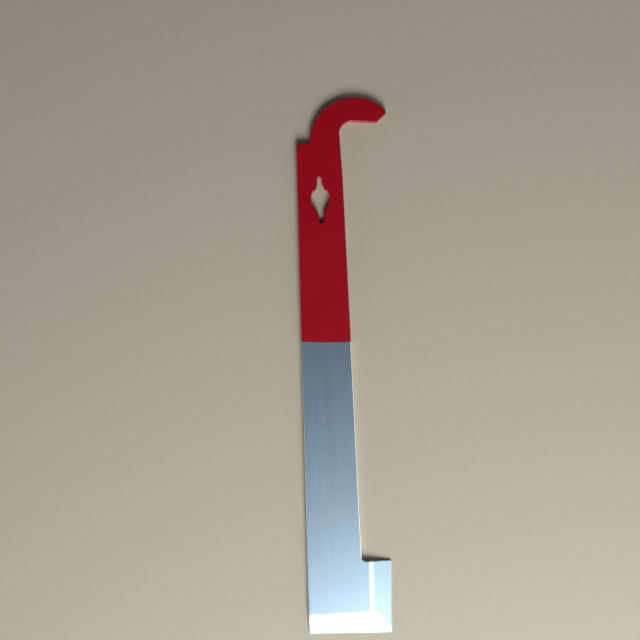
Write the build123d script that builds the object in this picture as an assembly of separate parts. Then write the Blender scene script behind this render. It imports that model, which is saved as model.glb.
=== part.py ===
"""Hive tool: a flat steel bar with a hooked end, a nail hole and a ground scraper end.

The bar lies on its back with the ground side up.  It is drawn from the left corner of
its chisel edge, X across and Y towards the hook, and is then moved so that the origin
is at the middle of the underside of its bounding box.
"""
from build123d import *
from math import cos, radians, sin
import os

# Bar stock and finish, in millimetres
STEEL_THICKNESS = 3.0
COAT_THICKNESS = 0.12
EDGE_ROUND = 0.45

# Scraper end: a lug to the right of the bar, ground on its end and on its side
CHISEL_RIGHT = (41.4, -0.43)
LUG_TOP_RIGHT = (41.85, 36.0)
LUG_CORNER_RADIUS = 0.75
NOTCH = (27.0, 36.0)
NOTCH_RADIUS = 2.5

# Hooked end: an arc that starts at a square shoulder on the left of the bar
SHOULDER_HEIGHT = 244.5
SHOULDER_RADIUS = 0.7
SHOULDER_ROOT_RADIUS = 0.5
HOOK_CENTRE = (28.86, SHOULDER_HEIGHT)
HOOK_RADIUS = 22.2
HOOK_TIP_ANGLE = 41.8
HOOK_TIP_RADIUS = 1.7
HOOK_LIP = (39.7, 254.3)
HOOK_LIP_RADIUS = 1.5
THROAT = (20.8, 255.9)
THROAT_RADIUS = 6.4
NECK_BEND = (22.3, 228.0)
NECK_BEND_RADIUS = 60.0

# Nail hole: a barrel-shaped eye with a slot above it and a tapered slot below it
HOLE_CENTRE = (11.15, 216.9)
HOLE_LEAN = 1.7
EYE_HALF_WIDTH = 4.74
EYE_TOP = (3.6, 4.0)
EYE_BOTTOM = (4.1, -3.3)
UPPER_FLARE = (2.05, 4.75)
UPPER_NECK = (1.24, 7.6)
UPPER_SLOT_TOP = 11.0
LOWER_FLARE = (2.75, -4.9)
LOWER_NECK = (1.34, -8.3)
LOWER_SLOT_BOTTOM = -12.3
EYE_CORNER_RADIUS = 0.8
FLARE_RADIUS = 1.5

# Ground bevels: a hollow shoulder left by the wheel, then a flat facet down to the edge
END_CREST_LEFT = (0.0, 10.0)
BEVEL_CREST_CORNER = (30.5, 11.0)
END_STEEP_SLOPE = 23.0
SIDE_STEEP_SLOPE = 18.0
BEVEL_FLAT_SLOPE = 10.5
WHEEL_RADIUS = 20.0
BEVEL_REACH = 14.0
CUTTER_CLEARANCE = 5.0

# Lower limit of the red coat: a shallow curve from just left to just right of the bar
PAINT_LEFT = (-1.0, 146.3)
PAINT_MIDDLE = (12.1, 145.55)
PAINT_RIGHT = (25.6, 145.45)

STEEL_BOTTOM = COAT_THICKNESS
STEEL_TOP = STEEL_BOTTOM + STEEL_THICKNESS
HOOK_TIP = (
    HOOK_CENTRE[0] + HOOK_RADIUS * cos(radians(HOOK_TIP_ANGLE)),
    HOOK_CENTRE[1] + HOOK_RADIUS * sin(radians(HOOK_TIP_ANGLE)),
)


def round_corners(sketch, corners):
    """Round each (point, radius) corner of a flat shape."""
    for point, radius in corners:
        nearest = sketch.vertices().sort_by_distance(point)[0]
        sketch = fillet(nearest, radius)
    return sketch


def bar_outline():
    """Outline of the steel bar, with a square corner where the lug's bevel will end."""
    shoulder_root = (HOOK_CENTRE[0] - HOOK_RADIUS, SHOULDER_HEIGHT)
    lug = [(0, 0), CHISEL_RIGHT, LUG_TOP_RIGHT, NOTCH]
    right_side = Polyline(*lug, NECK_BEND, THROAT, HOOK_LIP, HOOK_TIP)
    hook_back = CenterArc(HOOK_CENTRE, HOOK_RADIUS, HOOK_TIP_ANGLE, 180 - HOOK_TIP_ANGLE)
    left_side = Polyline(shoulder_root, (0, SHOULDER_HEIGHT), (0, 0))
    outline = make_face(right_side.edges() + hook_back.edges() + left_side.edges())
    return round_corners(outline, [
        (NOTCH, NOTCH_RADIUS),
        (NECK_BEND, NECK_BEND_RADIUS),
        (THROAT, THROAT_RADIUS),
        (HOOK_LIP, HOOK_LIP_RADIUS),
        (HOOK_TIP, HOOK_TIP_RADIUS),
        (shoulder_root, SHOULDER_ROOT_RADIUS),
        ((0, SHOULDER_HEIGHT), SHOULDER_RADIUS),
    ])


def mirrored(point):
    """The same point on the left of the nail hole's own centre line."""
    return (-point[0], point[1])


def hole_outline():
    """Outline of the nail hole in the steel, on its own leaning centre line."""
    upper_end = UPPER_SLOT_TOP - UPPER_NECK[0]
    lower_end = LOWER_SLOT_BOTTOM + LOWER_NECK[0]
    side = [(UPPER_NECK[0], upper_end), UPPER_NECK, UPPER_FLARE, EYE_TOP]
    foot = [EYE_BOTTOM, LOWER_FLARE, LOWER_NECK, (LOWER_NECK[0], lower_end)]
    other_side = [mirrored(point) for point in side]
    other_foot = [mirrored(point) for point in foot]
    lines = [Polyline(*points) for points in (side, foot, other_side, other_foot)]
    lines.append(ThreePointArc(side[-1], (EYE_HALF_WIDTH, 0), foot[0]))
    lines.append(ThreePointArc(other_side[-1], (-EYE_HALF_WIDTH, 0), other_foot[0]))
    lines.append(ThreePointArc(side[0], (0, UPPER_SLOT_TOP), other_side[0]))
    lines.append(ThreePointArc(foot[-1], (0, LOWER_SLOT_BOTTOM), other_foot[-1]))
    hole = make_face([edge for line in lines for edge in line.edges()])
    eye_corners = [EYE_TOP, EYE_BOTTOM]
    flare_corners = [UPPER_NECK, UPPER_FLARE, LOWER_FLARE, LOWER_NECK]
    corners = [(point, EYE_CORNER_RADIUS) for point in eye_corners]
    corners += [(point, FLARE_RADIUS) for point in flare_corners]
    corners += [(mirrored(point), radius) for point, radius in corners]
    return Pos(*HOLE_CENTRE) * Rot(Z=HOLE_LEAN) * round_corners(hole, corners)


def rim_edges(slab, sharp_faces):
    """The edges round the top and the bottom of a slab, without those of its sharp faces."""
    sharp = [edge for face in sharp_faces for edge in face.edges()]
    rims = slab.faces().sort_by(Axis.Z)
    around = rims[0].edges() + rims[-1].edges()
    return [edge for edge in around if edge not in sharp]


def bevel_profile(steep_slope):
    """Section of the metal ground off, measured outwards from the crest of a bevel."""
    steep = radians(steep_slope)
    turn = steep_slope - BEVEL_FLAT_SLOPE
    hollow = JernArc((0, STEEL_TOP), (cos(steep), -sin(steep)), WHEEL_RADIUS, turn)
    facet = PolarLine(hollow @ 1, BEVEL_REACH, -BEVEL_FLAT_SLOPE)
    above = STEEL_TOP + CUTTER_CLEARANCE
    back = Polyline(facet @ 1, ((facet @ 1).X, above), (0, above), (0, STEEL_TOP))
    return make_face(hollow.edges() + facet.edges() + back.edges())


def bevel_cutter(start, end, steep_slope):
    """The wedge ground off to the right of a crest that runs from start to end."""
    run = Vector(*end) - Vector(*start)
    along = run.normalized()
    outward = Vector(along.Y, -along.X)
    section = Plane(origin=Vector(*end), x_dir=outward, z_dir=-along) * bevel_profile(steep_slope)
    return extrude(section, run.length)


def past(start, end, distance):
    """The point beyond end, on the line from start."""
    run = Vector(*end) - Vector(*start)
    beyond = Vector(*end) + run.normalized() * distance
    return (beyond.X, beyond.Y)


def steel_bar():
    """The hardened steel bar: profile, nail hole, rounded edges and ground bevels."""
    face = bar_outline() - hole_outline()
    bar = Pos(0, 0, STEEL_BOTTOM) * extrude(face, STEEL_THICKNESS)
    end_face = bar.faces().sort_by(Axis.Y)[0]
    side_face = bar.faces().filter_by(Axis.Z, reverse=True).sort_by_distance(
        (LUG_TOP_RIGHT[0], LUG_TOP_RIGHT[1] / 2, STEEL_TOP / 2))[0]
    bar = fillet(rim_edges(bar, [end_face, side_face]), EDGE_ROUND)
    corner = BEVEL_CREST_CORNER
    end_cut = bevel_cutter(
        past(corner, END_CREST_LEFT, CUTTER_CLEARANCE),
        past(END_CREST_LEFT, corner, BEVEL_REACH), END_STEEP_SLOPE)
    side_cut = bevel_cutter(
        (corner[0], -CUTTER_CLEARANCE),
        (corner[0], LUG_TOP_RIGHT[1] + CUTTER_CLEARANCE), SIDE_STEEP_SLOPE)
    return bar - end_cut - side_cut - lug_corner_waste()


def lug_corner_waste():
    """The sliver outside the rounded upper right corner of the lug."""
    radius = LUG_CORNER_RADIUS
    centre_x = LUG_TOP_RIGHT[0] - radius
    centre_y = LUG_TOP_RIGHT[1] - radius
    square = Pos(centre_x + radius, centre_y + radius) * Rectangle(2 * radius, 2 * radius)
    waste = square - Pos(centre_x, centre_y) * Circle(radius)
    return extrude(waste, STEEL_TOP)


def paint_coat(steel):
    """The red coat: a thin skin over the hook end that also lines the nail hole."""
    paint_line = ThreePointArc(PAINT_LEFT, PAINT_MIDDLE, PAINT_RIGHT)
    left = PAINT_LEFT[0] - CUTTER_CLEARANCE
    right = HOOK_TIP[0] + CUTTER_CLEARANCE
    above = SHOULDER_HEIGHT + HOOK_RADIUS + CUTTER_CLEARANCE
    around = Polyline(
        PAINT_RIGHT, (right, PAINT_RIGHT[1]), (right, above), (left, above),
        (left, PAINT_LEFT[1]), PAINT_LEFT)
    dipped = make_face(paint_line.edges() + around.edges())
    outside = offset(bar_outline(), COAT_THICKNESS) & dipped
    face = outside - offset(hole_outline(), -COAT_THICKNESS)
    slab = extrude(face, STEEL_THICKNESS + 2 * COAT_THICKNESS)
    sharp_end = slab.faces().filter_by(Axis.Z, reverse=True).sort_by(Axis.Y)[0]
    return fillet(rim_edges(slab, [sharp_end]), EDGE_ROUND + COAT_THICKNESS) - steel


steel = steel_bar()
coat = paint_coat(steel)
middle = Compound([steel, coat]).bounding_box().center()
placed = Pos(-middle.X, -middle.Y, 0)

os.makedirs("parts", exist_ok=True)
export_step(placed * steel, "parts/steel_bar.step")
export_step(placed * coat, "parts/paint_coat.step")
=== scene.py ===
import bmesh
import bpy
from math import asin, atan2, ceil, cos, degrees, exp, radians, sin, sqrt, tan
from mathutils import Matrix, Vector


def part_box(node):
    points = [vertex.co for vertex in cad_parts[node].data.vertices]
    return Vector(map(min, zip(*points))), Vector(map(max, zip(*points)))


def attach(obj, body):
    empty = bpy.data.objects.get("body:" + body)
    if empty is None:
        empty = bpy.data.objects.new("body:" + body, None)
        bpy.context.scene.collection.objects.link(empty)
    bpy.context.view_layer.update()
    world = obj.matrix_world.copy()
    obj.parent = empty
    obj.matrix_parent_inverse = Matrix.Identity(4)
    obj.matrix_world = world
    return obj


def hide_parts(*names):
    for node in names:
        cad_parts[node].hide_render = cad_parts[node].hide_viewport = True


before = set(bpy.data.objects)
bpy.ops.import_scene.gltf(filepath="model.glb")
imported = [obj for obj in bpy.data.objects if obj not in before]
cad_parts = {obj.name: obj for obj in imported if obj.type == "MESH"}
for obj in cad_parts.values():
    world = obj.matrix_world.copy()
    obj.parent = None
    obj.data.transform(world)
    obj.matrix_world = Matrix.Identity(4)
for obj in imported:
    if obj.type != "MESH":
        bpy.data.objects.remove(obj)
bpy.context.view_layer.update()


# ------------------------------------------------------------------ the steel bar
# One flat bar of hardened tool steel, stamped to profile with its hook, square shoulder,
# nail hole and side lug. It is tumbled until its edges are round and finished lengthwise
# on a belt; then the end and the side of the lug are ground down to scraping edges.

# Sizes are in millimetres, and places are measured from the bar's left chisel corner.
MM = 0.001
STEEL_THICKNESS = 3.0
EDGE_ROUND = 0.45
EDGE_STEPS = 5
CHISEL_RIGHT = Vector((41.4, -0.43))
LUG_TOP_RIGHT = Vector((41.85, 36.0))
LUG_CORNER_RADIUS = 0.75
NOTCH = Vector((27.0, 36.0))
NOTCH_RADIUS = 2.5
NECK_BEND = Vector((22.3, 228.0))
NECK_BEND_RADIUS = 60.0
THROAT = Vector((20.8, 255.9))
THROAT_RADIUS = 6.4
SHOULDER_HEIGHT = 244.5
SHOULDER_RADIUS = 0.7
SHOULDER_ROOT_RADIUS = 0.5
HOOK_CENTRE = Vector((28.86, SHOULDER_HEIGHT))
HOOK_RADIUS = 22.2
HOOK_TIP_ANGLE = radians(41.8)
HOOK_TIP_RADIUS = 1.7
HOOK_LIP = Vector((39.7, 254.3))
HOOK_LIP_RADIUS = 1.5
GRINDING_ALLOWANCE = 2.0
SAME_PLACE = 0.01
TIP_STEPS = 12
BACK_STEPS = 72

bar_low, bar_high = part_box("steel_bar")


def at(place, height=0.0):
    """A place on the bar, in millimetres from its left chisel corner, in the frame's metres."""
    y_from_lowest = place[1] - CHISEL_RIGHT.y
    return Vector((bar_low.x + place[0] * MM, bar_low.y + y_from_lowest * MM, height))


def draw_outline(name, start, moves):
    """Draws a closed flat outline from a single point.

    A move is a point to draw a line to, or an arc: its centre, its turn in degrees,
    counterclockwise, and its number of steps.
    """
    bpy.ops.object.select_all(action="DESELECT")
    bpy.ops.mesh.primitive_plane_add(size=MM, location=at(start))
    outline = bpy.context.object
    outline.name = name
    bpy.ops.object.transform_apply(location=True)
    bpy.ops.object.mode_set(mode="EDIT")
    bpy.ops.mesh.merge(type="CENTER")
    pen = Vector(start)
    for move in moves:
        if len(move) == 2:
            step = at(move) - at(pen)
            bpy.ops.mesh.extrude_region_move(TRANSFORM_OT_translate={"value": step})
            pen = Vector(move)
        else:
            centre, turn, steps = move
            bpy.ops.mesh.spin(
                steps=steps, angle=-radians(turn), center=at(centre), axis=(0, 0, 1))
            pen = centre + Matrix.Rotation(radians(turn), 2) @ (pen - centre)
    bpy.ops.mesh.select_all(action="SELECT")
    bpy.ops.mesh.remove_doubles(threshold=SAME_PLACE * MM)
    bpy.ops.object.mode_set(mode="OBJECT")
    return outline


def round_corner(outline, corner, radius, steps):
    """Rounds the corner of an outline that lies nearest to a place on the bar."""
    bpy.context.view_layer.objects.active = outline
    bpy.ops.object.mode_set(mode="EDIT")
    bpy.ops.mesh.select_all(action="DESELECT")
    mesh = bmesh.from_edit_mesh(outline.data)
    vertex = min(mesh.verts, key=lambda v: (v.co - at(corner)).length)
    arms = [edge.other_vert(vertex).co - vertex.co for edge in vertex.link_edges]
    vertex.select_set(True)
    bmesh.update_edit_mesh(outline.data)
    run = radius * MM / tan(arms[0].angle(arms[1]) / 2)
    bpy.ops.mesh.bevel(offset=run, segments=steps, affect="VERTICES")
    bpy.ops.object.mode_set(mode="OBJECT")


def polar(angle):
    """A unit vector at an angle in radians from +X."""
    return Vector((cos(angle), sin(angle)))


# The hook's tip: a small round that runs into the hook's back and into the cut below it.
hook_corner = HOOK_CENTRE + HOOK_RADIUS * polar(HOOK_TIP_ANGLE)
cut_along = (hook_corner - HOOK_LIP).normalized()
cut_inward = Vector((-cut_along.y, cut_along.x))
from_hook_centre = HOOK_LIP + cut_inward * HOOK_TIP_RADIUS - HOOK_CENTRE
lean = from_hook_centre.dot(cut_along)
reach = HOOK_RADIUS - HOOK_TIP_RADIUS
tip_run = sqrt(lean * lean + reach * reach - from_hook_centre.length_squared) - lean
tip_start = HOOK_LIP + cut_along * tip_run
tip_centre = tip_start + cut_inward * HOOK_TIP_RADIUS
tip_to_back = tip_centre - HOOK_CENTRE
back_angle = degrees(atan2(tip_to_back.y, tip_to_back.x))
tip_turn = back_angle - degrees(atan2(-cut_inward.y, -cut_inward.x))

bar_start = (0, -GRINDING_ALLOWANCE)
lug_right = LUG_TOP_RIGHT.x + GRINDING_ALLOWANCE
bar_outline = draw_outline("bar_outline", bar_start, [
    (lug_right, -GRINDING_ALLOWANCE), (lug_right, LUG_TOP_RIGHT.y), NOTCH, NECK_BEND, THROAT,
    HOOK_LIP, tip_start, (tip_centre, tip_turn, TIP_STEPS),
    (HOOK_CENTRE, 180 - back_angle, BACK_STEPS),
    (0, SHOULDER_HEIGHT), bar_start])
shoulder_root = (HOOK_CENTRE.x - HOOK_RADIUS, SHOULDER_HEIGHT)
round_corner(bar_outline, NOTCH, NOTCH_RADIUS, steps=12)
round_corner(bar_outline, NECK_BEND, NECK_BEND_RADIUS, steps=8)
round_corner(bar_outline, THROAT, THROAT_RADIUS, steps=24)
round_corner(bar_outline, HOOK_LIP, HOOK_LIP_RADIUS, steps=8)
round_corner(bar_outline, shoulder_root, SHOULDER_ROOT_RADIUS, steps=6)
round_corner(bar_outline, (0, SHOULDER_HEIGHT), SHOULDER_RADIUS, steps=8)

# The nail hole: a barrel-shaped eye, a slot above it and a tapered slot below it.
HOLE_CENTRE = Vector((11.15, 216.9))
HOLE_LEAN = radians(1.7)
EYE_TOP = (3.6, 4.0)
EYE_BOTTOM = (4.1, -3.3)
EYE_SIDE_CENTRE = (-3.35, -0.143)
UPPER_FLARE = (2.05, 4.75)
UPPER_NECK = (1.24, 7.6)
UPPER_SLOT_END = 9.76
LOWER_FLARE = (2.75, -4.9)
LOWER_NECK = (1.34, -8.3)
LOWER_SLOT_END = -10.96
EYE_CORNER_RADIUS = 0.8
FLARE_RADIUS = 1.5
EYE_SIDE_STEPS = 12
SLOT_END_STEPS = 16


def in_hole(across, along):
    """A place given on the nail hole's own leaning centre line."""
    return HOLE_CENTRE + Matrix.Rotation(HOLE_LEAN, 2) @ Vector((across, along))


def angle_about(centre, point):
    """Direction of a point from a centre, in degrees."""
    return degrees(atan2(point[1] - centre[1], point[0] - centre[0]))


eye_turn = angle_about(EYE_SIDE_CENTRE, EYE_BOTTOM) - angle_about(EYE_SIDE_CENTRE, EYE_TOP)
right_side = [UPPER_NECK, UPPER_FLARE, EYE_TOP]
right_foot = [LOWER_FLARE, LOWER_NECK, (LOWER_NECK[0], LOWER_SLOT_END)]
left_foot = [LOWER_NECK, LOWER_FLARE, EYE_BOTTOM]
left_side = [UPPER_FLARE, UPPER_NECK, (UPPER_NECK[0], UPPER_SLOT_END)]
hole_outline = draw_outline(
    "hole_outline", in_hole(UPPER_NECK[0], UPPER_SLOT_END),
    [in_hole(x, y) for x, y in right_side]
    + [(in_hole(*EYE_SIDE_CENTRE), eye_turn, EYE_SIDE_STEPS)]
    + [in_hole(x, y) for x, y in right_foot]
    + [(in_hole(0, LOWER_SLOT_END), -180, SLOT_END_STEPS)]
    + [in_hole(-x, y) for x, y in left_foot]
    + [(in_hole(-EYE_SIDE_CENTRE[0], EYE_SIDE_CENTRE[1]), eye_turn, EYE_SIDE_STEPS)]
    + [in_hole(-x, y) for x, y in left_side]
    + [(in_hole(0, UPPER_SLOT_END), -180, SLOT_END_STEPS)])
for side in (1, -1):
    for x, y in (EYE_TOP, EYE_BOTTOM):
        round_corner(hole_outline, in_hole(side * x, y), EYE_CORNER_RADIUS, steps=4)
    for x, y in (UPPER_NECK, UPPER_FLARE, LOWER_FLARE, LOWER_NECK):
        round_corner(hole_outline, in_hole(side * x, y), FLARE_RADIUS, steps=6)

# The two outlines become the plate, whose edges are round all the way along.
SEAM_GAP = 0.002


def stamp_plate(name, swell):
    """Thickens the two outlines into a plate with round edges, swollen by a skin's thickness."""
    bpy.ops.object.select_all(action="DESELECT")
    for outline in (bar_outline, hole_outline):
        outline.select_set(True)
    bpy.context.view_layer.objects.active = bar_outline
    bpy.ops.object.duplicate()
    bpy.ops.object.join()
    bpy.ops.object.convert(target="CURVE")
    plate = bpy.context.object
    plate.name = name
    plate.data.dimensions = "2D"
    plate.data.fill_mode = "BOTH"
    plate.data.extrude = (STEEL_THICKNESS / 2 - EDGE_ROUND) * MM
    plate.data.bevel_depth = (EDGE_ROUND + swell) * MM
    plate.data.bevel_resolution = EDGE_STEPS
    plate.data.offset = -EDGE_ROUND * MM
    bpy.ops.object.convert(target="MESH")
    plate.location.z = (bar_low.z + bar_high.z) / 2
    bpy.ops.object.transform_apply(location=True)
    bpy.ops.object.mode_set(mode="EDIT")
    bpy.ops.mesh.select_all(action="SELECT")
    bpy.ops.mesh.remove_doubles(threshold=SEAM_GAP * MM)
    bpy.ops.mesh.normals_make_consistent(inside=False)
    bpy.ops.object.mode_set(mode="OBJECT")
    return plate


steel_bar = stamp_plate("ground_bar", 0.0)

# The ground end: each bevel starts at a crest, is hollow where the wheel bit in, and runs
# out in a flat facet. The two meet in a mitre that is rubbed round near the crests.
END_CREST_LEFT = 10.0
CREST_CORNER = Vector((30.5, 11.0))
END_STEEP = radians(23.0)
SIDE_STEEP = radians(18.0)
FACET_SLOPE = radians(10.5)
WHEEL_RADIUS = 20.0
MITRE_BLEND = 1.3
MITRE_BLEND_REACH = 3.5
MITRE_BLEND_START = 0.8
EDGE_LAND = 0.5
EDGE_LAND_SLOPE = 0.4
GROUND_EDGE_ROUND = 0.35
CUT_STEP = 0.35
CREST_WIDTH = 0.02
ABOVE_PLATE = 1.0
STEP_DOWN = 0.001
FINE_ROUND_STEP = 0.07
FINE_TOP_STEP = 0.06
FINE_LAND_STEP = 0.125
FINE_TOP_START = 34.5
CUTTER_HEIGHT = 10.0
OVERRUN = 1.0
LEAST_BLEND = 1e-6
CREASE = radians(28)


def rounding(inset, radius):
    """How far a round edge falls below the face at a distance inside the wall."""
    short = min(max(radius - inset, 0.0), radius)
    return radius - sqrt(radius * radius - short * short)


def side_edge_x(y):
    """The lug's scraping edge, which turns in round the lug's upper corner."""
    slant = (y - CHISEL_RIGHT.y) / (LUG_TOP_RIGHT.y - CHISEL_RIGHT.y)
    straight = CHISEL_RIGHT.x + slant * (LUG_TOP_RIGHT.x - CHISEL_RIGHT.x)
    return straight - rounding(LUG_TOP_RIGHT.y - y, LUG_CORNER_RADIUS)


def end_edge_y(x):
    """The chisel edge."""
    return CHISEL_RIGHT.y * x / CHISEL_RIGHT.x


def end_crest_y(x):
    """The crest of the end bevel."""
    return END_CREST_LEFT + (CREST_CORNER.y - END_CREST_LEFT) * x / CREST_CORNER.x


def ground_off(distance, steep):
    """Depth of a bevel at a distance from its crest: a hollow, and then a flat facet."""
    if distance < 0:
        return max(distance * tan(steep), -ABOVE_PLATE)
    hollow_run = WHEEL_RADIUS * (sin(steep) - sin(FACET_SLOPE))
    slope = asin(max(sin(steep) - distance / WHEEL_RADIUS, sin(FACET_SLOPE)))
    facet_run = max(distance - hollow_run, 0.0)
    return WHEEL_RADIUS * (cos(slope) - cos(steep)) + facet_run * tan(FACET_SLOPE)


def ground_depth(x, y):
    """Depth of the ground surface below the bar's face.

    The deeper of the two bevels counts, and near the mitre they blend. The edges have a
    narrow steeper land, and the lug's upper side and the bar's left side stay round.
    """
    below_crest = end_crest_y(x) - y
    beside_crest = x - CREST_CORNER.x
    end_cut = ground_off(below_crest, END_STEEP)
    side_cut = ground_off(beside_crest, SIDE_STEEP)
    nearness = exp(-((below_crest + beside_crest) / 2 / MITRE_BLEND_REACH) ** 2)
    start = min(max(min(below_crest, beside_crest) / MITRE_BLEND_START, 0.0), 1.0)
    blend = MITRE_BLEND * nearness * start + LEAST_BLEND
    overlap = max(blend - abs(end_cut - side_cut), 0.0)
    depth = max(end_cut, side_cut) + overlap * overlap / (4 * blend)
    depth += max(EDGE_LAND - (side_edge_x(y) - x), 0.0) * EDGE_LAND_SLOPE
    depth += max(EDGE_LAND - (y - end_edge_y(x)), 0.0) * EDGE_LAND_SLOPE
    depth += rounding(LUG_TOP_RIGHT.y - y, GROUND_EDGE_ROUND)
    return depth + rounding(x, GROUND_EDGE_ROUND)


def steps_between(start, end, size):
    """Evenly spaced places from start to end, no further apart than a size."""
    count = ceil(round(abs(end - start) / size, 3))
    return [start + (end - start) * i / count for i in range(1, count + 1)]


# The cutter's grid is wide over the plain face, and fine over the bevels and near the edges.
side_width = LUG_TOP_RIGHT.x - CREST_CORNER.x
columns = [-GRINDING_ALLOWANCE, 0.0, *steps_between(0.0, GROUND_EDGE_ROUND, FINE_ROUND_STEP)]
columns += [10.0, 20.0, 28.0, CREST_CORNER.x]
columns += steps_between(CREST_CORNER.x, LUG_TOP_RIGHT.x - EDGE_LAND, CUT_STEP)
columns += steps_between(LUG_TOP_RIGHT.x - EDGE_LAND, LUG_TOP_RIGHT.x, FINE_LAND_STEP)
columns += [LUG_TOP_RIGHT.x + STEP_DOWN, lug_right + OVERRUN]
rows = [-GRINDING_ALLOWANCE - OVERRUN, -STEP_DOWN, 0.0]
rows += steps_between(0.0, EDGE_LAND, FINE_LAND_STEP)
rows += steps_between(EDGE_LAND, END_CREST_LEFT, CUT_STEP)
rows += [12.0, 18.0, 24.0, 30.0, 33.0, FINE_TOP_START]
rows += steps_between(FINE_TOP_START, LUG_TOP_RIGHT.y, FINE_TOP_STEP)
rows += [LUG_TOP_RIGHT.y + 2 * OVERRUN]


def grinding_point(column, row):
    """Moves a point of the plain grid to its place on the ground surface."""
    x, y = column, row
    if row <= END_CREST_LEFT:
        share = max(row, 0.0) / END_CREST_LEFT
        y = end_edge_y(x) + share * (end_crest_y(x) - end_edge_y(x)) + min(row, 0.0)
    if column > CREST_CORNER.x:
        share = min((column - CREST_CORNER.x) / side_width, 1.0)
        x = CREST_CORNER.x + share * (side_edge_x(y) - CREST_CORNER.x)
        x += max(column - LUG_TOP_RIGHT.x, 0.0)
    if column > LUG_TOP_RIGHT.x or row < 0.0:
        return at((x, y), -ABOVE_PLATE * MM)
    return at((x, y), bar_high.z - ground_depth(x, y) * MM)


bpy.ops.object.select_all(action="DESELECT")
bpy.ops.mesh.primitive_plane_add(size=MM, location=at((columns[0], rows[0])))
grinding = bpy.context.object
grinding.name = "grinding"
bpy.ops.object.transform_apply(location=True)
bpy.ops.object.mode_set(mode="EDIT")
bpy.ops.mesh.merge(type="CENTER")
for here, there in zip(columns, columns[1:]):
    step = Vector((there - here, 0, 0)) * MM
    bpy.ops.mesh.extrude_region_move(TRANSFORM_OT_translate={"value": step})
bpy.ops.mesh.select_all(action="SELECT")
for here, there in zip(rows, rows[1:]):
    step = Vector((0, there - here, 0)) * MM
    bpy.ops.mesh.extrude_region_move(TRANSFORM_OT_translate={"value": step})
mesh = bmesh.from_edit_mesh(grinding.data)
for vertex in mesh.verts:
    from_corner = (vertex.co - at((0, 0))) / MM
    column = min(columns, key=lambda place: abs(place - from_corner.x))
    row = min(rows, key=lambda place: abs(place - from_corner.y))
    vertex.co = grinding_point(column, row)
bmesh.update_edit_mesh(grinding.data)
bpy.ops.mesh.select_all(action="SELECT")
lift = Vector((0, 0, CUTTER_HEIGHT * MM))
bpy.ops.mesh.extrude_region_move(TRANSFORM_OT_translate={"value": lift})
bpy.ops.mesh.select_all(action="SELECT")
bpy.ops.mesh.normals_make_consistent(inside=False)
bpy.ops.object.mode_set(mode="OBJECT")


def cut_with(piece, cutter):
    """Cuts a piece with a closed cutter, which is then thrown away."""
    cut = piece.modifiers.new("cut", "BOOLEAN")
    cut.operation = "DIFFERENCE"
    cut.solver = "EXACT"
    cut.object = cutter
    bpy.ops.object.select_all(action="DESELECT")
    piece.select_set(True)
    bpy.context.view_layer.objects.active = piece
    bpy.ops.object.modifier_apply(modifier=cut.name)
    bpy.data.objects.remove(cutter)


def finish_surface(piece, crease):
    """Smooths a piece's shading, except over edges sharper than the crease angle."""
    bpy.ops.object.select_all(action="DESELECT")
    piece.select_set(True)
    bpy.context.view_layer.objects.active = piece
    bpy.ops.object.shade_smooth_by_angle(angle=crease)
    weight = piece.modifiers.new("weight", "WEIGHTED_NORMAL")
    weight.keep_sharp = True
    bpy.ops.object.modifier_apply(modifier=weight.name)


cut_with(steel_bar, grinding)
bpy.ops.object.mode_set(mode="EDIT")
bpy.ops.mesh.select_all(action="DESELECT")
mesh = bmesh.from_edit_mesh(steel_bar.data)
for edge in mesh.edges:
    ends = [(vertex.co - at((0, 0), bar_high.z)) / MM for vertex in edge.verts]
    on_top = all(abs(end.z) < CREST_WIDTH for end in ends)
    on_side_crest = all(abs(end.x - CREST_CORNER.x) < CREST_WIDTH for end in ends)
    on_end_crest = all(abs(end.y - end_crest_y(end.x)) < CREST_WIDTH for end in ends)
    edge.select_set(on_top and (on_side_crest or on_end_crest))
bmesh.update_edit_mesh(steel_bar.data)
bpy.ops.mesh.mark_sharp()
bpy.ops.object.mode_set(mode="OBJECT")
finish_surface(steel_bar, CREASE)

# Satin steel: a fine belt grain along the bar, broad faint streaks, and cross-ground bevels, with
# painted highlights in the side hollow and on the rounded edges.


def add_node(tree, kind, inputs=(), **settings):
    """Adds a shader node. Its inputs are values, or the outputs that feed them."""
    made = tree.nodes.new("ShaderNode" + kind)
    for name, value in settings.items():
        setattr(made, name, value)
    for name, value in dict(inputs).items():
        if isinstance(value, bpy.types.NodeSocket):
            tree.links.new(value, made.inputs[name])
        else:
            made.inputs[name].default_value = value
    return made


def new_material(name):
    """A material with nothing but its shader, and the shader."""
    material = bpy.data.materials.new(name)
    material.use_nodes = True
    return material, material.node_tree.nodes["Principled BSDF"]


def streaks(tree, place, stretch, detail):
    """Noise drawn out into streaks, from 0 to 1."""
    drawn = add_node(tree, "Mapping", {"Vector": place, "Scale": stretch})
    noise = add_node(tree, "TexNoise", {"Vector": drawn.outputs[0], "Scale": 1.0, "Detail": detail})
    return noise.outputs["Fac"]


def spread(tree, value, low, high):
    """Carries noise, which keeps mostly between 0.3 and 0.7, over to a range."""
    made = add_node(tree, "MapRange", {"Value": value, "From Min": 0.3, "From Max": 0.7})
    made.inputs["To Min"].default_value = low
    made.inputs["To Max"].default_value = high
    return made.outputs[0]


steel, shader = new_material("belt_finished_steel")
tree = steel.node_tree
place = add_node(tree, "TexCoord").outputs["Object"]
grain = streaks(tree, place, stretch=(5200, 60, 5200), detail=4.0)
cross_grain = streaks(tree, place, stretch=(70, 4200, 4200), detail=4.0)
broad = streaks(tree, place, stretch=(420, 9, 300), detail=2.0)
cloud = streaks(tree, place, stretch=(45, 22, 45), detail=3.0)

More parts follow.
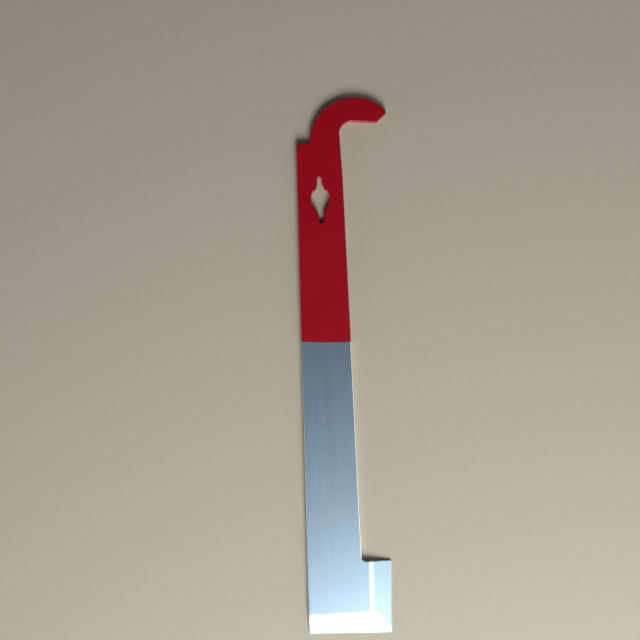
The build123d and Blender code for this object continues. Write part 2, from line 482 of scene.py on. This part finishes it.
# Where the wheel has been: beside the side crest, and below the end crest.
where = add_node(tree, "SeparateXYZ", {"Vector": place})
beside = add_node(
    tree, "Math", {0: where.outputs["X"], 1: at(CREST_CORNER).x}, operation="SUBTRACT")
end_rise = (CREST_CORNER.y - END_CREST_LEFT) / CREST_CORNER.x
crest_line = add_node(
    tree, "Math", {0: beside.outputs[0], 1: end_rise, 2: at(CREST_CORNER).y},
    operation="MULTIPLY_ADD")
below = add_node(
    tree, "Math", {0: crest_line.outputs[0], 1: where.outputs["Y"]}, operation="SUBTRACT")
lug_top = add_node(
    tree, "Math", {0: where.outputs["Y"], 1: at(LUG_TOP_RIGHT).y}, operation="LESS_THAN")
on_lug = add_node(tree, "Math", {0: beside.outputs[0], 1: 0.0}, operation="GREATER_THAN")
on_lug = add_node(tree, "Math", {0: on_lug.outputs[0], 1: lug_top.outputs[0]}, operation="MULTIPLY")
on_end = add_node(tree, "Math", {0: below.outputs[0], 1: 0.0}, operation="GREATER_THAN")
ground = add_node(tree, "Math", {0: on_lug.outputs[0], 1: on_end.outputs[0]}, operation="MAXIMUM")
side_most = add_node(
    tree, "Math", {0: beside.outputs[0], 1: below.outputs[0]}, operation="GREATER_THAN")
on_side = add_node(
    tree, "Math", {0: on_lug.outputs[0], 1: side_most.outputs[0]}, operation="MULTIPLY")
marks = add_node(tree, "Mix", {"Factor": on_side.outputs[0], "A": grain, "B": cross_grain})

# The hollow of the side bevel, given a painted highlight that makes it brighter than the facet
# beside it.
side_hollow = WHEEL_RADIUS * (sin(SIDE_STEEP) - sin(FACET_SLOPE)) * MM
HOLLOW_GONE = 1.1
HOLLOW_FULL = 0.8
hollow = add_node(
    tree, "MapRange",
    {"Value": beside.outputs[0], "From Min": HOLLOW_GONE * side_hollow,
     "From Max": HOLLOW_FULL * side_hollow})
hollow = add_node(
    tree, "Math", {0: hollow.outputs[0], 1: on_side.outputs[0]}, operation="MULTIPLY")

# Any surface that leans, unless it is ground: the tumbled edges, polished to a lower roughness, and
# given a painted highlight in their colour.
NEARLY_FLAT = 0.995
WELL_ROUNDED = 0.96
normal = add_node(tree, "NewGeometry").outputs["Normal"]
upright = add_node(tree, "SeparateXYZ", {"Vector": normal}).outputs["Z"]
upright = add_node(tree, "Math", {0: upright}, operation="ABSOLUTE")
leaning = add_node(
    tree, "MapRange",
    {"Value": upright.outputs[0], "From Min": NEARLY_FLAT, "From Max": WELL_ROUNDED})
unground = add_node(tree, "Math", {0: 1.0, 1: ground.outputs[0]}, operation="SUBTRACT")
edges = add_node(
    tree, "Math", {0: leaning.outputs[0], 1: unground.outputs[0]}, operation="MULTIPLY")

# The colours of the differently finished steel, a near-white painted highlight colour for the
# hollow and the rims, its gloss, and the grooves of the marks.
BELT_STEEL_DARK = (0.68, 0.71, 0.75, 1)
BELT_STEEL_LIGHT = (0.71, 0.74, 0.77, 1)
GROUND_STEEL = (0.62, 0.66, 0.65, 1)
PAINTED_HIGHLIGHT_STEEL = (0.95, 0.95, 0.93, 1)
EDGE_GLOSS = 0.22
GROOVE_DEPTH = 0.01
tone = add_node(tree, "Mix", {"Factor": 0.5, "A": broad, "B": cloud})
tint = add_node(
    tree, "Mix",
    {"Factor": spread(tree, tone.outputs[0], low=0.0, high=1.0),
     "A": BELT_STEEL_DARK, "B": BELT_STEEL_LIGHT},
    data_type="RGBA")
tint = add_node(
    tree, "Mix",
    {"Factor": ground.outputs[0], "A": tint.outputs["Result"], "B": GROUND_STEEL},
    data_type="RGBA")
# Painted highlight: the side hollow is lightened towards near-white steel.
tint = add_node(
    tree, "Mix",
    {"Factor": hollow.outputs[0], "A": tint.outputs["Result"], "B": PAINTED_HIGHLIGHT_STEEL},
    data_type="RGBA")
# Painted highlight: the leaning rims are lightened towards near-white steel.
tint = add_node(
    tree, "Mix",
    {"Factor": edges.outputs[0], "A": tint.outputs["Result"], "B": PAINTED_HIGHLIGHT_STEEL},
    data_type="RGBA")
gloss = add_node(
    tree, "Mix",
    {"Factor": 0.5, "A": spread(tree, marks.outputs[0], low=0.35, high=0.43),
     "B": spread(tree, broad, low=0.378, high=0.394)})
gloss = add_node(tree, "Mix", {"Factor": edges.outputs[0], "A": gloss.outputs[0], "B": EDGE_GLOSS})
grooves = add_node(
    tree, "Bump",
    {"Height": marks.outputs[0], "Strength": 0.35, "Distance": GROOVE_DEPTH * MM})
tree.links.new(tint.outputs["Result"], shader.inputs["Base Color"])
tree.links.new(gloss.outputs[0], shader.inputs["Roughness"])
tree.links.new(grooves.outputs[0], shader.inputs["Normal"])
shader.inputs["Metallic"].default_value = 1.0
steel_bar.data.materials.clear()
steel_bar.data.materials.append(steel)
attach(steel_bar, "root")
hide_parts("steel_bar")


# ------------------------------------------------------------------ the red coat
# Red powder, sprayed on the hook end and baked to a hard skin about a tenth of a
# millimetre thick. It wraps the round edges and lines the nail hole, and stops at a
# masked line across the bar.

COAT_THICKNESS = 0.12
PAINT_LINE_HEIGHT = 145.6
PAINT_LINE_SAG = 0.35
PAINT_LINE_SLANT = -0.03
PAINT_LINE_CUTS = 24
ON_THE_LINE = 0.001
LONG_EDGE = 1.0
PEBBLE_HEIGHT = 0.02
DARK_RED = (0.475, 0.0040, 0.010, 1)
LIGHT_RED = (0.510, 0.0050, 0.012, 1)


def coat_skin(name, swell):
    """The hook end of the plate, swollen by a skin's thickness and open at the paint line."""
    skin = stamp_plate(name, swell)
    bpy.ops.object.mode_set(mode="EDIT")
    bpy.ops.mesh.select_all(action="SELECT")
    bpy.ops.mesh.bisect(
        plane_co=at((0, PAINT_LINE_HEIGHT)), plane_no=(0, 1, 0), clear_inner=True)
    bpy.ops.mesh.select_all(action="DESELECT")
    mesh = bmesh.from_edit_mesh(skin.data)
    line = at((0, PAINT_LINE_HEIGHT)).y
    for edge in mesh.edges:
        on_line = all(abs(vertex.co.y - line) < ON_THE_LINE * MM for vertex in edge.verts)
        edge.select_set(on_line and edge.is_boundary and edge.calc_length() > LONG_EDGE * MM)
    bmesh.update_edit_mesh(skin.data)
    bpy.ops.mesh.subdivide(number_cuts=PAINT_LINE_CUTS)
    bpy.ops.object.mode_set(mode="OBJECT")
    return skin


outer_skin = coat_skin("baked_coat", COAT_THICKNESS)
inner_skin = coat_skin("coat_inside", 0.0)
bpy.ops.object.mode_set(mode="EDIT")
bpy.ops.mesh.select_all(action="SELECT")
bpy.ops.mesh.flip_normals()
bpy.ops.object.mode_set(mode="OBJECT")
bpy.ops.object.select_all(action="DESELECT")
inner_skin.select_set(True)
outer_skin.select_set(True)
bpy.context.view_layer.objects.active = outer_skin
bpy.ops.object.join()
red_coat = bpy.context.object
bpy.ops.object.mode_set(mode="EDIT")
bpy.ops.mesh.select_all(action="DESELECT")
mesh = bmesh.from_edit_mesh(red_coat.data)
for edge in mesh.edges:
    edge.select_set(edge.is_boundary)
bmesh.update_edit_mesh(red_coat.data)
bpy.ops.mesh.bridge_edge_loops()
mesh = bmesh.from_edit_mesh(red_coat.data)
line = at((0, PAINT_LINE_HEIGHT)).y
bar_width = (THROAT.x + NOTCH.x) / 2
half_width = bar_width / 2
for vertex in mesh.verts:
    if abs(vertex.co.y - line) < ON_THE_LINE * MM:
        off_middle = (vertex.co.x - at((half_width, 0)).x) / (half_width * MM)
        sag = PAINT_LINE_SAG * (off_middle * off_middle - 0.5)
        vertex.co.y += (sag + PAINT_LINE_SLANT * off_middle * half_width) * MM
bmesh.update_edit_mesh(red_coat.data)
bpy.ops.object.mode_set(mode="OBJECT")
finish_surface(red_coat, CREASE)

# Semi-gloss red powder, pebbled by a fine peel, with faint patches that differ in colour.
paint, shader = new_material("baked_red_powder")
tree = paint.node_tree
place = add_node(tree, "TexCoord").outputs["Object"]
peel = add_node(tree, "TexNoise", {"Vector": place, "Scale": 900.0, "Detail": 2.0})
patches = add_node(tree, "TexNoise", {"Vector": place, "Scale": 60.0, "Detail": 3.0})
tint = add_node(
    tree, "Mix",
    {"Factor": spread(tree, patches.outputs["Fac"], low=0.0, high=1.0),
     "A": DARK_RED, "B": LIGHT_RED},
    data_type="RGBA")
gloss = spread(tree, patches.outputs["Fac"], low=0.23, high=0.27)
pebbling = add_node(
    tree, "Bump",
    {"Height": peel.outputs["Fac"], "Strength": 0.25, "Distance": PEBBLE_HEIGHT * MM})
tree.links.new(tint.outputs["Result"], shader.inputs["Base Color"])
tree.links.new(gloss, shader.inputs["Roughness"])
tree.links.new(pebbling.outputs[0], shader.inputs["Normal"])
red_coat.data.materials.clear()
red_coat.data.materials.append(paint)
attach(red_coat, "root")
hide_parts("paint_coat")

for outline in (bar_outline, hole_outline):
    bpy.data.objects.remove(outline)


# ------------------------------------------------------------------ the studio
# A plain pale floor under the tool, a soft box in front of it and a little to the right,
# a small one higher at the front right, a dim dome, and a camera straight above.

FLOOR_SIZE = 8.0
FLOOR_DARK = (0.68, 0.49, 0.330, 1)
FLOOR_LIGHT = (0.72, 0.53, 0.360, 1)
bpy.ops.object.select_all(action="DESELECT")
bpy.ops.mesh.primitive_plane_add(size=FLOOR_SIZE, location=(0, 0, 0))
floor = bpy.context.object
floor.name = "floor"
pale, shader = new_material("pale_floor")
tree = pale.node_tree
place = add_node(tree, "TexCoord").outputs["Object"]
fibres = add_node(tree, "TexNoise", {"Vector": place, "Scale": 300.0, "Detail": 4.0})
tint = add_node(
    tree, "Mix", {"Factor": fibres.outputs["Fac"], "A": FLOOR_DARK, "B": FLOOR_LIGHT},
    data_type="RGBA")
tree.links.new(tint.outputs["Result"], shader.inputs["Base Color"])
shader.inputs["Roughness"].default_value = 0.9
shader.inputs["Specular IOR Level"].default_value = 0.2
floor.data.materials.append(pale)

CAMERA_HEIGHT = 0.500
VIEW_SPAN = 318.4 * MM
TOOL_LEAN = radians(1.49)
SENSOR_WIDTH = 36.0
DAYLIGHT = (0.67, 0.855, 1.0)
view_centre = at((9.3, 156.7))


def soft_box(name, offset, size, power):
    """A square area light, placed from the middle of the view and turned towards it."""
    bpy.ops.object.light_add(type="AREA", location=view_centre + Vector(offset))
    box = bpy.context.object
    box.name = name
    box.rotation_euler = (view_centre - box.location).to_track_quat("-Z", "Y").to_euler()
    box.data.size = size
    box.data.energy = power
    box.data.color = DAYLIGHT


soft_box("key_box", offset=(0.150, -0.650, 0.50), size=0.44, power=8.2)
soft_box("side_box", offset=(0.510, -0.350, 0.60), size=0.16, power=0.42)

# The dome: dim walls all round under a dark ceiling, with glows at the front, at the left,
# low and higher at the right and at the back left, and a faint one overhead.
WALL_FOOT = 0.05
WALL_HEAD = 0.35
CEILING_COLOUR = (0.005, 0.007, 0.012, 1)
WALL_COLOUR = (0.06, 0.06, 0.06, 1)
GLOWS = (  # the direction, tightness and colour of each
    ((0.30, -0.93, 0.20), 9.0, (0.36, 0.45, 0.52)),
    ((0.05, -0.20, 0.98), 60.0, (0.085, 0.165, 0.235)),
    ((-0.95, -0.30, 0.12), 60.0, (3.80, 4.80, 5.50)),
    ((0.98, -0.08, 0.12), 60.0, (2.40, 3.00, 3.50)),
    ((0.88, -0.20, 0.43), 110.0, (3.20, 4.00, 4.60)),
    ((-0.45, 0.78, 0.42), 16.0, (0.42, 0.50, 0.56)),
)
dome = bpy.data.worlds.new("dome")
bpy.context.scene.world = dome
dome.use_nodes = True
tree = dome.node_tree
toward = add_node(tree, "TexCoord").outputs["Generated"]
height = add_node(tree, "SeparateXYZ", {"Vector": toward}).outputs["Z"]
wall = add_node(
    tree, "MapRange", {"Value": height, "From Min": WALL_HEAD, "From Max": WALL_FOOT},
    interpolation_type="SMOOTHSTEP")
sky = add_node(
    tree, "Mix", {"Factor": wall.outputs[0], "A": CEILING_COLOUR, "B": WALL_COLOUR},
    data_type="RGBA").outputs["Result"]
for direction, tightness, colour in GLOWS:
    facing = add_node(
        tree, "VectorMath", {0: toward, 1: Vector(direction).normalized()}, operation="DOT_PRODUCT")
    facing = add_node(tree, "Math", {0: facing.outputs["Value"], 1: 0.0}, operation="MAXIMUM")
    glow = add_node(tree, "Math", {0: facing.outputs[0], 1: tightness}, operation="POWER")
    tinted = add_node(
        tree, "VectorMath", {0: colour, "Scale": glow.outputs[0]}, operation="SCALE")
    sky = add_node(
        tree, "VectorMath", {0: sky, 1: tinted.outputs[0]}, operation="ADD").outputs[0]
tree.links.new(sky, tree.nodes["Background"].inputs["Color"])

bpy.ops.object.camera_add(location=view_centre + Vector((0, 0, CAMERA_HEIGHT)))
camera = bpy.context.object
camera.rotation_euler = (0, 0, -TOOL_LEAN)
camera.data.sensor_width = SENSOR_WIDTH
camera.data.lens = SENSOR_WIDTH * (CAMERA_HEIGHT - bar_high.z) / VIEW_SPAN
bpy.context.scene.camera = camera
bpy.context.scene.view_settings.view_transform = "Standard"
